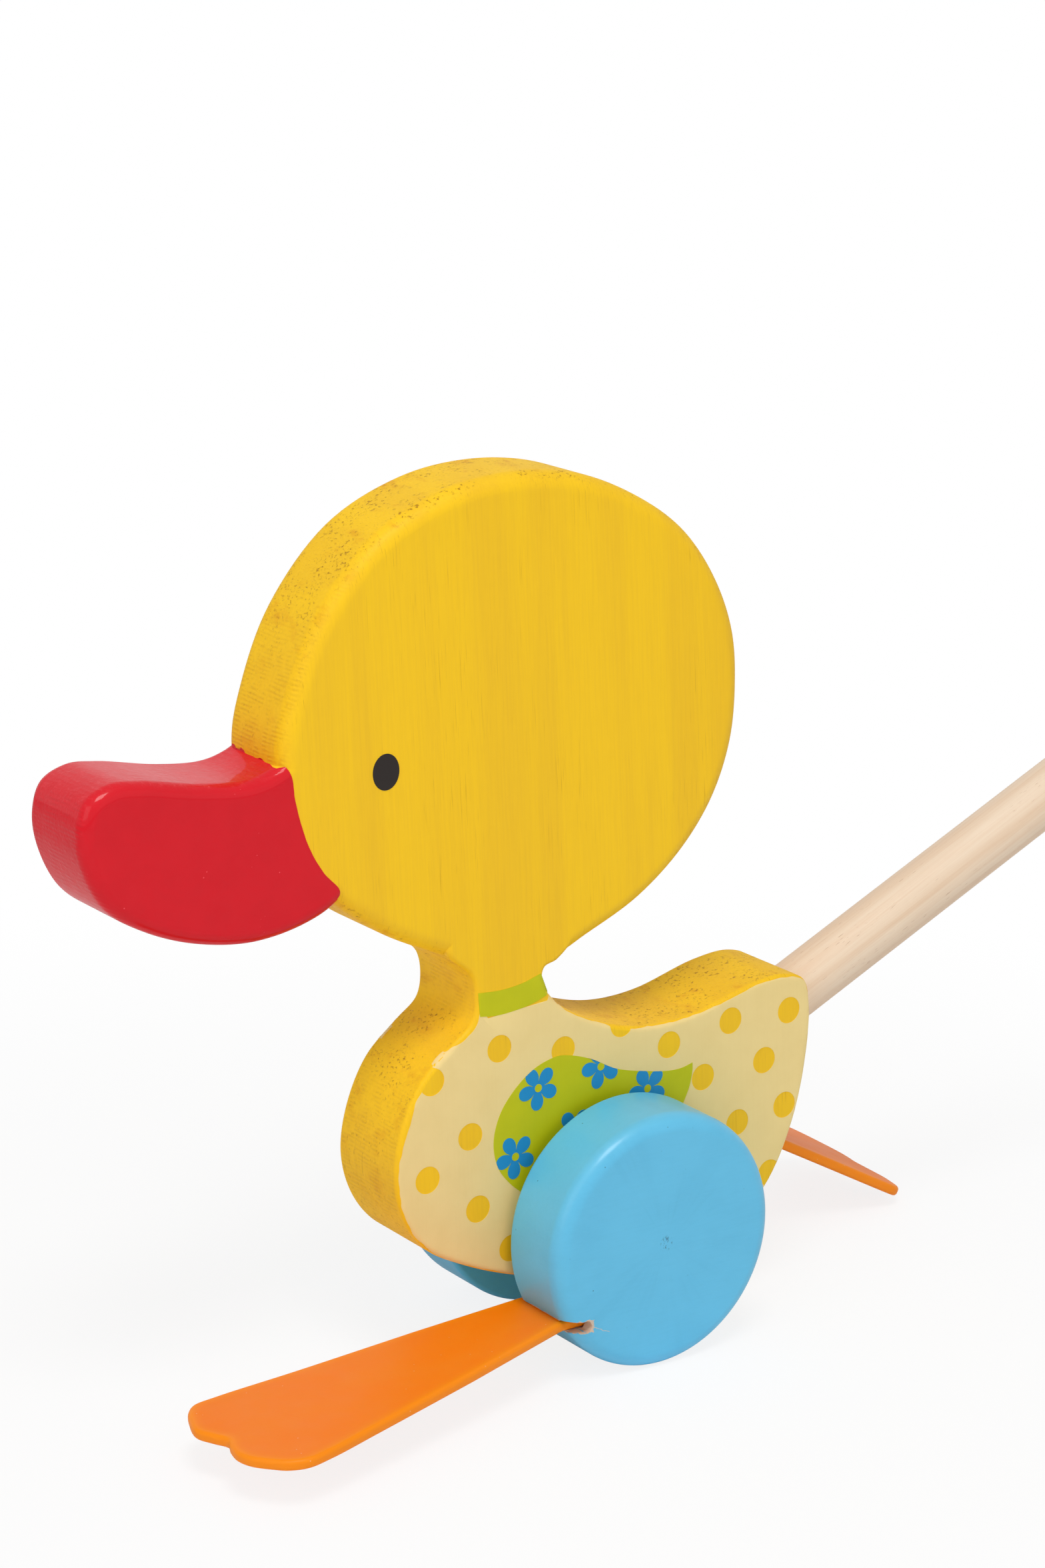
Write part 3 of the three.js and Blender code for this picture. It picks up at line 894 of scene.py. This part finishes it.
class StickSettings(bpy.types.PropertyGroup):
    """Sizes and finishes of the push stick and its ball"""
    diameter: size_mm("Diameter", "Of the stick", 14.3)
    length: size_mm("Length", "Of the whole stick", 420)
    seat: size_mm("Seat", "How deep the stick sits in the tail", 32)
    angle: angle_of("Angle", "Of the stick above the ground", 25.1)
    entry_height: size_mm("Entry height", "Above the belly, where the axis leaves the tail", 54.3)
    ball_diameter: size_mm("Ball diameter", "Of the ball to hold", 35.9)
    ball_seat: size_mm("Ball seat", "How deep the stick sits in the ball", 22)
    gap: size_mm("Gap", "Glue gap at each end of the stick", 0.3)
    pale: paint("Pale beech", "Bare dowel", (240, 218, 192))
    warm: paint("Warm beech", "Darker rings", (228, 196, 164))
    fleck: paint("Fleck", "Short dark rays", (176, 128, 88))


class StageSettings(bpy.types.PropertyGroup):
    """Camera, lamps and floor"""
    lens: number("Lens", "Focal length for a 36 mm frame", 88.8, "CAMERA")
    top: number("Top lamp", "Power of the lamp above the duck", 11, "POWER")
    front: number("Front lamp", "Power of the lamp ahead of the beak", 4.2, "POWER")
    fill: number("Fill lamp", "Power of the lamp that faces the left side", 1.0, "POWER")
    world: number("Room light", "Strength of the light from all round", 0.42, "NONE")
    floor_radius: size_mm("Floor radius", "Of the floor", 12000)


GROUPS = (BoardSettings, PrintSettings, WheelSettings, FootSettings, StickSettings, StageSettings)


class DuckToySettings(bpy.types.PropertyGroup):
    """All settings of the duck push toy"""
    board: group(BoardSettings, "Board", "The sawn board")
    prints: group(PrintSettings, "Print", "The print")
    wheel: group(WheelSettings, "Wheels", "The wheels")
    foot: group(FootSettings, "Feet", "The feet")
    stick: group(StickSettings, "Stick", "The stick")
    stage: group(StageSettings, "Stage", "The stage")


def settings():
    return bpy.context.scene.duck_toy


def board():
    return settings().board


def outlines():
    """The three sawn outlines in toy millimetres, each with the radius of its edges."""
    values = {name: getattr(board(), name) for name in BoardSettings.__annotations__}
    size = {name: value / MM for name, value in values.items() if isinstance(value, float)}
    head_bottom = size["clearance"] + size["body_height"] + size["neck_rise"]
    body = scaled(
        BODY_SHARES, -size["body_front"], size["clearance"], size["body_length"], size["body_height"],
    )
    head = scaled(
        HEAD_SHARES, -size["head_front"], head_bottom, size["head_length"], size["head_height"],
    )
    beak = scaled(
        BEAK_SHARES, -size["head_front"] - size["beak_front"], head_bottom + size["beak_rise"],
        size["beak_length"], size["beak_height"],
    )
    return (body, size["body_round"]), (head, size["head_round"]), (beak, size["beak_round"])


def closest(point, loop):
    """A point's distance to a closed loop, negative outside it, and the nearest place on it."""
    best, place, inside = math.inf, None, False
    for a, b in zip(loop, loop[1:] + loop[:1]):
        along = b - a
        share = min(max((point - a).dot(along) / along.length_squared, 0), 1)
        away = (point - a - along * share).length
        if away < best:
            best, place = away, a + along * share
        if (a.y > point.y) != (b.y > point.y):
            if point.x < a.x + (point.y - a.y) / (b.y - a.y) * (b.x - a.x):
                inside = not inside
    return (best if inside else -best), place


def nearest(point, loop):
    return closest(point, loop)[0]


def face_drop(point, loops):
    """How far the board's rounded edge lies under its flat face at a point, above a film's root."""
    drop = math.inf
    for loop, radius in loops:
        depth = nearest(point, loop)
        if depth >= radius:
            return 0.0
        if depth > 0:
            drop = min(drop, radius - math.sqrt(radius ** 2 - (radius - depth) ** 2))
    return min(drop, FILM_ROOT - 0.3)


def wavy(loop, reach):
    """An outline whose points wander a little, like the edge of a print."""
    def wander(p, layer):
        return noise.noise((p.x * 0.5, p.y * 0.5, layer))
    return [p + reach * Vector((wander(p, 1.7), wander(p, 8.3))) for p in loop]


def oval(x, z, width, height, steps=48):
    turns = [2 * math.pi * k / steps for k in range(steps)]
    return [Vector((x + math.cos(t) * width / 2, z + math.sin(t) * height / 2)) for t in turns]


def film(loop, loops, high, side, holes=()):
    """A printed film on one face, rooted in the board: its top follows the board's rounded edge."""
    loop = loop if signed_area(loop) > 0 else loop[::-1]
    points, edges = [], []
    for ring in (loop, *holes):
        first = len(points)
        edges += [(first + k, first + (k + 1) % len(ring)) for k in range(len(ring))]
        points += ring
    for depth in FILM_RINGS:
        points += [p for p in inset(loop, depth) if nearest(p, loop) > depth * 0.9]
    # All triangles are asked for, and points less than a micron apart are taken as one
    spots, _, faces = delaunay_2d_cdt(points, edges, [], 0, 0.001)[:3]
    half = board().thickness / MM / 2
    mesh = bmesh.new()
    levels = [half - face_drop(p, loops) + high for p in spots]
    top = [mesh.verts.new(to_frame((p.x, side * y, p.y))) for p, y in zip(spots, levels)]
    low = [mesh.verts.new(to_frame((p.x, side * (half - FILM_ROOT), p.y))) for p in spots]
    kept = []
    for face in faces:
        middle = sum((spots[k] for k in face), Vector((0, 0))) / 3
        close = [h for h in holes if (h[0] - middle).length < (h[0] - h[len(h) // 2]).length]
        if nearest(middle, loop) > 0 and not any(nearest(middle, hole) > 0 for hole in close):
            kept.append(face)
    sides = {(a, b) for face in kept for a, b in zip(face, face[1:] + face[:1])}
    for face in kept:
        mesh.faces.new([top[k] for k in face])
        mesh.faces.new([low[k] for k in reversed(face)])
    for a, b in sides:
        if (b, a) not in sides:
            mesh.faces.new((top[b], top[a], low[a], low[b]))
    bmesh.ops.delete(mesh, geom=[v for v in mesh.verts if not v.link_faces], context="VERTS")
    bmesh.ops.recalc_face_normals(mesh, faces=mesh.faces)
    return mesh


def kept_inside(obj, loop):
    """Pulls what a printed shape has outside an outline back to its edge, as if cut off there."""
    for vertex in obj.data.vertices:
        away, place = closest(Vector((vertex.co.x - AXLE.x, vertex.co.z)) / MM, loop)
        if away < 0:
            vertex.co = (AXLE.x + place.x * MM, vertex.co.y, place.y * MM)
    mesh = bmesh.new()
    mesh.from_mesh(obj.data)
    bmesh.ops.dissolve_degenerate(mesh, edges=mesh.edges, dist=0.000001)
    mesh.to_mesh(obj.data)
    mesh.free()


def joined(meshes, name):
    whole = bmesh.new()
    for mesh in meshes:
        data = bpy.data.meshes.new("part")
        mesh.to_mesh(data)
        mesh.free()
        whole.from_mesh(data)
        bpy.data.meshes.remove(data)
    return to_object(whole, name)


# Operators

class DUCK_OT_board(bpy.types.Operator):
    """Saws the duck from its board and paints the head, body and beak"""
    bl_idname = "duck_toy.board"
    bl_label = "Board"

    def execute(self, context):
        toy = context.scene.duck_toy
        slabs = [to_object(board_slab(loop, radius), "slab") for loop, radius in outlines()]
        whole = cut(slabs[0], ("UNION", slabs[1]), ("UNION", slabs[2]))
        bores = self.bores(toy)
        bored = cut(whole, *(("DIFFERENCE", bore) for bore in bores))
        mask = self.paint_mask()
        beak = cut(bored, ("INTERSECT", mask))
        duck = cut(bored, ("DIFFERENCE", mask))
        discard(*slabs, whole, bored, mask, *bores)
        b = toy.board
        lifted = [v.co + v.normal * b.paint_step for v in beak.data.vertices]
        for vertex, place in zip(beak.data.vertices, lifted):
            vertex.co = place
            vertex.co.x = max(place.x, CAD_BOX[0][0])
        yellow = yellow_paint((b.yellow, b.yellow_deep, b.golden, b.stain))
        red = red_paint((b.red, b.red_deep, b.red_scuff_and_sheen))
        finish_piece(duck, "duck_board", "duck", yellow, ("duck_body",))
        finish_piece(beak, "beak_paint", "duck", red, ("duck_body",))
        return {"FINISHED"}

    def bores(self, toy):
        """The blind bore for the stick and the axle's bore, as solids to take away."""
        past, length = 0.02, 0.04
        seat = toy.stick.seat
        stick = turned(toy.stick.diameter / 2 + BORE_GAP, seat + past)
        stick.data.transform(along_stick(-seat, seat + past))
        axle = turned(toy.wheel.axle_diameter / 2 + RUNNING_GAP, length)
        axle.data.transform(along_axle(length / 2))
        return stick, axle

    def paint_mask(self):
        """A solid that holds the beak, its wall a little wavy like a masked paint edge."""
        edge = curve_through(BEAK_PAINT_EDGE, 12)
        rows = []
        for y in range(-16, 17):
            inner = 1 - min(max((abs(y) - FACE_START) / 0.9, 0), 1)
            row = []
            for p in edge:
                wave = noise.noise((p.y * 0.8, y * 0.6, 3.1)) * (0.07 + inner * 0.12)
                sag = inner * (1.6 + (12 - y) * 0.07 + noise.noise((3.3, y * 0.35, 9.0)) * 1.4)
                row.append((p.x + wave, y, p.y - sag))
            row += [(-160, y, 112), (-160, y, 175), (-87.5, y, 175)]
            rows.append([to_frame(p) for p in row])
        return to_object(stacked(rows), "mask")


def along_axle(half):
    """Lays a solid turned about Z along the axle, half its length to each side of the middle."""
    return Matrix.Translation(AXLE) @ rotation(90, "X") @ Matrix.Translation((0, 0, half))


def along_stick(distance, length):
    """Stands a solid turned about Z on the stick's axis, its far end length past the distance."""
    stick = settings().stick
    b = board()
    direction = Vector((math.cos(stick.angle), 0, math.sin(stick.angle)))
    entry = Vector((AXLE.x + b.body_length - b.body_front, 0, b.clearance + stick.entry_height))
    turn = Matrix.Rotation(math.radians(90) - stick.angle, 4, "Y")
    return Matrix.Translation(entry + direction * (distance + length)) @ turn


class DUCK_OT_print(bpy.types.Operator):
    """Prints the dotted panel, the collar, the wings, the flowers and the eyes on both faces"""
    bl_idname = "duck_toy.print"
    bl_label = "Print"

    def execute(self, context):
        toy = context.scene.duck_toy
        ink = toy.prints
        loops = outlines()
        layer = ink.film / MM
        cream = print_ink("cream ink", ink.cream, ink.cream_deep)
        green = print_ink("green ink", ink.green, ink.green_deep)
        blue = print_ink("flower blue ink", ink.blue, ink.blue_deep)
        black = print_ink("black ink", ink.black, ink.black, 0.4)
        dot = ink.dot_radius * 2 / MM
        holes = [oval(x, z, dot, dot) for x, z in DOTS]
        panel = wavy(curve_through(PANEL_BREAST, 6)[:-1] + curve_through(PANEL_BACK, 6), 0.2)
        collar = curve_through(COLLAR_BOTTOM, 8) + curve_through(COLLAR_TOP, 8)
        wing = curve_through(WING_TOP, 8)[:-1]
        eye = oval(*EYE, ink.eye_width / MM, ink.eye_height / MM, 64)
        for name, outline, layers, finish, gaps in (
            ("cream_panel", panel, 1.0, cream, holes), ("collar_print", collar, 1.4, green, ()),
            ("wing_print", wing, 1.7, green, ()), ("eye_print", eye, 1.0, black, ()),
        ):
            sides = [film(outline, loops, layer * layers, side, gaps) for side in (-1, 1)]
            faces = joined(sides, name)
            finish_piece(faces, name, "duck", finish)

        tree = flower_tree()
        half = toy.board.thickness / MM / 2
        for name, reach, notch, layers, finish in (
            ("flower_print", ink.flower_reach, ink.flower_notch, 2.4, blue),
            ("flower_middles", ink.flower_eye, ink.flower_eye, 3.1, green),
        ):
            points = bmesh.new()
            turn = points.verts.layers.float_vector.new("turn")
            for x, z, degrees in FLOWERS:
                for side in (-1, 1):
                    point = points.verts.new(to_frame((x, side * half, z)))
                    point[turn] = Vector((0, math.radians(degrees), 0))
            flowers = worked(tree, {
                "Reach": reach, "Notch": notch, "Petals": 5, "Thickness": 2 * layers * ink.film,
                "Finish": finish,
            }, to_object(points))
            kept_inside(flowers, wing)
            finish_piece(flowers, name, "duck", finish)
        return {"FINISHED"}


class DUCK_OT_wheels(bpy.types.Operator):
    """Turns both wheels, saws their slots and sets them on their axle"""
    bl_idname = "duck_toy.wheels"
    bl_label = "Wheels"

    def execute(self, context):
        toy = context.scene.duck_toy
        w = toy.wheel
        blue = blue_paint((w.blue, w.blue_deep, w.speck, w.wood))
        inner = toy.board.thickness / 2 + w.side_gap
        tongues = toy.foot.left_tongue, toy.foot.right_tongue
        for name, side, tongue in zip(("left", "right"), (-1, 1), tongues):
            disc = turned(w.diameter / 2, w.thickness, (w.outer_round, w.inner_round), 160, 12)
            outer = AXLE + Vector((0, side * (inner + w.thickness), 0))
            disc.data.transform(Matrix.Translation(outer) @ rotation(-90 * side, "X"))
            slots = self.slot(toy, side, tongue)
            slotted = cut(disc, *(("DIFFERENCE", slot) for slot in slots))
            discard(disc, *slots)
            finish_piece(
                slotted, f"wheel_{name}_painted", "wheel_set", blue,
                (f"wheel_{name}",),
            )
        half = inner + w.axle_seat
        rod = turned(w.axle_diameter / 2, 2 * half, (0.0008, 0.0008), 64, 3)
        rod.data.transform(along_axle(half))
        s = toy.stick
        wood = bare_wood("axle wood", (s.warm, s.warm, s.fleck), (math.radians(90), 0, 0))
        finish_piece(rod, "axle_dowel", "wheel_set", wood, ("axle",))
        return {"FINISHED"}

    def slot(self, toy, side, tongue):
        """The saw slot, and its ragged mouth in the outer face, as two solids to take away."""
        w, f = toy.wheel, toy.foot
        rim = slot_mouth(w)
        half = f.thickness / 2 + SLOT_GAP
        inner = toy.board.thickness / 2
        face = inner + w.side_gap + w.thickness
        deep = inner + FOOT_START + foot_root_width(w) + SEAT_GAP
        seat = [(rim - tongue, 1), (w.diameter, 1), (w.diameter, -1), (rim - tongue, -1)]
        # Places along the slot, each with the mouth's height as a share of the slot's
        start = rim - w.slot_mouth
        ragged = [(start, 0.1), (start + 0.0006, 0.9), (rim - 0.0042, 1.05), (rim - 0.003, 1.0),
                  (rim - 0.0012, 1.18), (rim, 1.3), (rim + 0.006, 1.4)]
        mouth = ragged + [(x, -s) for x, s in reversed(ragged)]
        made = []
        for outline, *reach in (seat, inner - 0.003, deep), (mouth, deep - 0.001, face + 0.004):
            mesh = stacked([
                [Vector((x, y, w.slot_offset + half * s)) for x, s in outline] for y in reach
            ])
            if side < 0:
                mesh.transform(Matrix.Scale(-1, 4))
            mesh.transform(Matrix.Translation(AXLE))
            bmesh.ops.recalc_face_normals(mesh, faces=mesh.faces)
            made.append(to_object(mesh, "slot"))
        return made


def slot_mouth(wheel):
    """How far from the axle, along the slot, the slot's middle leaves the rim."""
    return math.sqrt((wheel.diameter / 2) ** 2 - wheel.slot_offset ** 2)


def foot_root_width(wheel):
    return wheel.side_gap + wheel.thickness - FOOT_END - FOOT_START


class DUCK_OT_feet(bpy.types.Operator):
    """Moulds the two rubber feet and pushes them into their slots"""
    bl_idname = "duck_toy.feet"
    bl_label = "Feet"

    def execute(self, context):
        toy = context.scene.duck_toy
        f, w = toy.foot, toy.wheel
        orange = rubber((f.orange, f.edge, f.bloom, f.dust))
        root = toy.board.thickness / 2 + FOOT_START
        for name, side, tongue, droop, twist in (
            ("left", -1, f.left_tongue, f.left_droop, 0.0),
            ("right", 1, f.right_tongue, f.right_droop, f.right_twist),
        ):
            mesh = self.flat(toy, tongue)
            for v in mesh.verts:
                x, z = self.bent(v.co.x, v.co.z, droop, f.bend)
                ramp = min(max(x / f.bend, 0), 1)
                v.co = (x, v.co.y, z + v.co.y * math.tan(twist) * ramp ** 2 * (3 - 2 * ramp))
            mesh.transform(Matrix.Translation((slot_mouth(w), root, w.slot_offset)))
            if side < 0:
                mesh.transform(rotation(180, "Z"))
                mesh.transform(Matrix.Translation((0, 0, -2 * w.slot_offset)))
            mesh.transform(Matrix.Translation(AXLE))
            bmesh.ops.recalc_face_normals(mesh, faces=mesh.faces)
            if mesh.calc_volume(signed=True) < 0:
                bmesh.ops.reverse_faces(mesh, faces=mesh.faces)
            finish_piece(
                to_object(mesh), f"foot_{name}_rubber", "wheel_set", orange,
                (f"foot_{name}",),
            )
        return {"FINISHED"}

    def flat(self, toy, tongue):
        """The foot before it is bent, lying along X from its tongue, its edges rounded."""
        f = toy.foot
        toes = [(x * f.length - tongue, y * f.width) for x, y in TOE_SHARES]
        width = foot_root_width(toy.wheel)
        loop = [Vector((-tongue, 0)), Vector((0, 0))] + curve_through(toes, 8)
        loop += [Vector((0, width)), Vector((-tongue, width))]
        loop = self.evenly(loop, SIDE_STEP)
        radius, half = f.edge_round, f.thickness / 2
        # Two rings on the flat face keep the rim's painted light narrow, and the others round the
        # edge
        rings = [(3.2 * radius, half), (1.9 * radius, half)] + rounded_edge(radius, half, 5)
        rows = [[Vector((p.x, p.y, z)) for p in inset(loop, d)] for d, z in rings]
        rows += [[Vector((p.x, p.y, -z)) for p in inset(loop, d)] for d, z in reversed(rings)]
        mesh = stacked(rows)
        # The rim attribute marks the rounded edge, where the rubber's colour carries painted light
        # for light shining through it
        rim = mesh.verts.layers.float.new("rim")
        last = len(rows) - 1
        for i, vertex in enumerate(mesh.verts):
            from_face = min(i // len(loop), last - i // len(loop))
            vertex[rim] = (0.0, 0.35, 1.0)[min(from_face, 2)]
        for k in range(int(f.length / BEND_STEP) + 1):
            place = Vector((-tongue + (k + 0.5) * BEND_STEP, 0, 0))
            geometry = mesh.verts[:] + mesh.edges[:] + mesh.faces[:]
            bmesh.ops.bisect_plane(
                mesh, geom=geometry, dist=1e-7, plane_co=place, plane_no=(1, 0, 0))
        return mesh

    def evenly(self, loop, step):
        """The same closed loop with long sides divided."""
        made = []
        for a, b in zip(loop, loop[1:] + loop[:1]):
            parts = max(1, round((b - a).length / step))
            made += [a.lerp(b, k / parts) for k in range(parts)]
        return made

    def bent(self, x, z, droop, radius):
        """Where a point of the flat foot goes once it droops from the slot's mouth."""
        if x <= 0 or droop == 0:
            return x, z
        angle = min(x / radius, droop)
        rest = x - angle * radius
        return (math.sin(angle) * (radius + z) + rest * math.cos(angle),
                math.cos(angle) * (radius + z) - radius - rest * math.sin(angle))


class DUCK_OT_stick(bpy.types.Operator):
    """Turns the push stick and the ball on its end"""
    bl_idname = "duck_toy.stick"
    bl_label = "Stick and ball"

    def execute(self, context):
        toy = context.scene.duck_toy
        s = toy.stick
        lean = (0, math.radians(90) - s.angle, 0)
        wood = bare_wood("clear beech", (s.pale, s.warm, s.fleck), lean)
        rod = turned(s.diameter / 2, s.length, (0.001, 0.001), 96, 4)
        rod.data.transform(along_stick(s.gap - s.seat, s.length))
        finish_piece(rod, "stick_dowel", "duck", wood, ("push_stick",))
        radius = s.ball_diameter / 2
        nearly = radius * 0.998
        ball = turned(radius, s.ball_diameter, (nearly, nearly), 96, 32)
        to_middle = math.sqrt(radius ** 2 - (s.diameter / 2 + s.gap) ** 2)
        centre = 2 * s.gap - s.seat + s.length - s.ball_seat + to_middle
        ball.data.transform(along_stick(centre - radius, s.ball_diameter))
        b = toy.board
        red = bpy.data.materials.get(RED) or red_paint((b.red, b.red_deep, b.red_scuff_and_sheen))
        finish_piece(ball, "grip_ball_painted", "duck", red, ("grip_ball",))
        return {"FINISHED"}


class DUCK_OT_stage(bpy.types.Operator):
    """Sets up the floor, the soft lamps and the camera"""
    bl_idname = "duck_toy.stage"
    bl_label = "Stage"

    def execute(self, context):
        toy = context.scene.duck_toy
        self.floor(toy.stage)
        self.room(toy.stage)
        middle = Vector((AXLE.x - 0.018, 0, 0.1))
        self.lamp("top", middle + Vector((-0.32, -0.62, 1.35)), middle, 0.55, toy.stage.top)
        self.lamp("front", middle + Vector((-1.5, -0.6, 0.7)), middle, 1.0, toy.stage.front)
        self.lamp("fill", middle + Vector((0.53, -1.6, 0.65)), middle, 1.3, toy.stage.fill)
        self.camera(toy.stage)
        return {"FINISHED"}

    def floor(self, stage):
        mesh = bmesh.new()
        bmesh.ops.create_circle(mesh, cap_ends=True, segments=96, radius=stage.floor_radius)
        floor = to_object(mesh, "floor")
        made = bpy.data.materials.new("pale floor")
        made.use_nodes = True
        net = Net(made.node_tree)
        # The camera sees white far from the toy, and more of the floor's own shade near it
        matt = made.node_tree.nodes["Principled BSDF"]
        matt.inputs["Base Color"].default_value = linear((250, 250, 250))
        matt.inputs["Roughness"].default_value = 0.9
        seen = net.number("ShaderNodeLightPath", output="Is Camera Ray")
        x, y, _ = net.parts()
        away = ((x + 180) * (x + 180) + y * y).maths("SQRT").between(130, 380)
        white = net.node("ShaderNodeEmission", {"Color": (1, 1, 1, 1), "Strength": 1.0})
        both = net.node("ShaderNodeMixShader", {
            0: seen * (0.84 + away * 0.16), 1: matt, 2: white,
        })
        net.feed(made.node_tree.nodes["Material Output"].inputs["Surface"], both)
        floor.data.materials.append(made)

    def room(self, stage):
        world = bpy.data.worlds.new("room")
        bpy.context.scene.world = world
        world.use_nodes = True
        net = Net(world.node_tree)
        path = net.node("ShaderNodeLightPath")
        seen = Value(net, path.outputs["Is Camera Ray"])
        for ray in ("Is Glossy Ray", "Is Transmission Ray"):
            seen = seen.maths("MAXIMUM", path.outputs[ray])
        light = world.node_tree.nodes["Background"]
        light.inputs["Color"].default_value = (1, 1, 1, 1)
        net.feed(light.inputs["Strength"], seen * (1 - stage.world) + stage.world)

    def lamp(self, name, place, target, size, power):
        data = bpy.data.lights.new(name, "AREA")
        data.size = size
        data.energy = power
        lamp = linked(name, data)
        lamp.location = place
        lamp.rotation_euler = (target - place).to_track_quat("-Z", "Y").to_euler()

    def camera(self, stage):
        """The photo's camera, as fitted to the near wheel's rims and the board."""
        data = bpy.data.cameras.new("camera")
        data.lens = stage.lens
        data.sensor_width = 36
        data.sensor_fit = "AUTO"
        data.clip_start = 0.01
        data.clip_end = 100
        camera = linked("camera", data)
        camera.matrix_world = (
            Matrix.Translation((AXLE.x - 0.48593, -0.68534, 0.35873)) @ rotation(-34.374, "Z")
            @ rotation(90 - 15.27, "X") @ rotation(0.314, "Z")
        )
        bpy.context.scene.camera = camera
        bpy.context.scene.view_settings.view_transform = "Standard"


OPERATORS = (DUCK_OT_board, DUCK_OT_print, DUCK_OT_wheels, DUCK_OT_feet, DUCK_OT_stick, DUCK_OT_stage)


class DUCK_PT_panel(bpy.types.Panel):
    """Lists the steps that build the toy, and their settings"""
    bl_idname = "DUCK_PT_panel"
    bl_label = "Duck push toy"
    bl_space_type = "VIEW_3D"
    bl_region_type = "UI"
    bl_category = "Duck toy"

    def draw(self, context):
        toy = context.scene.duck_toy
        groups = (toy.board, toy.prints, toy.wheel, toy.foot, toy.stick, toy.stage)
        for operator, group in zip(OPERATORS, groups):
            box = self.layout.box()
            box.operator(operator.bl_idname)
            for name in group.__annotations__:
                box.prop(group, name)


CLASSES = GROUPS + (DuckToySettings,) + OPERATORS + (DUCK_PT_panel,)


def register():
    for item in CLASSES:
        bpy.utils.register_class(item)
    bpy.types.Scene.duck_toy = group(DuckToySettings, "Duck toy", "Settings of the duck push toy")


def unregister():
    del bpy.types.Scene.duck_toy
    for item in reversed(CLASSES):
        bpy.utils.unregister_class(item)


def main():
    register()
    for operator in OPERATORS:
        category, name = operator.bl_idname.split(".")
        getattr(getattr(bpy.ops, category), name)()


if __name__ == "__main__":
    main()
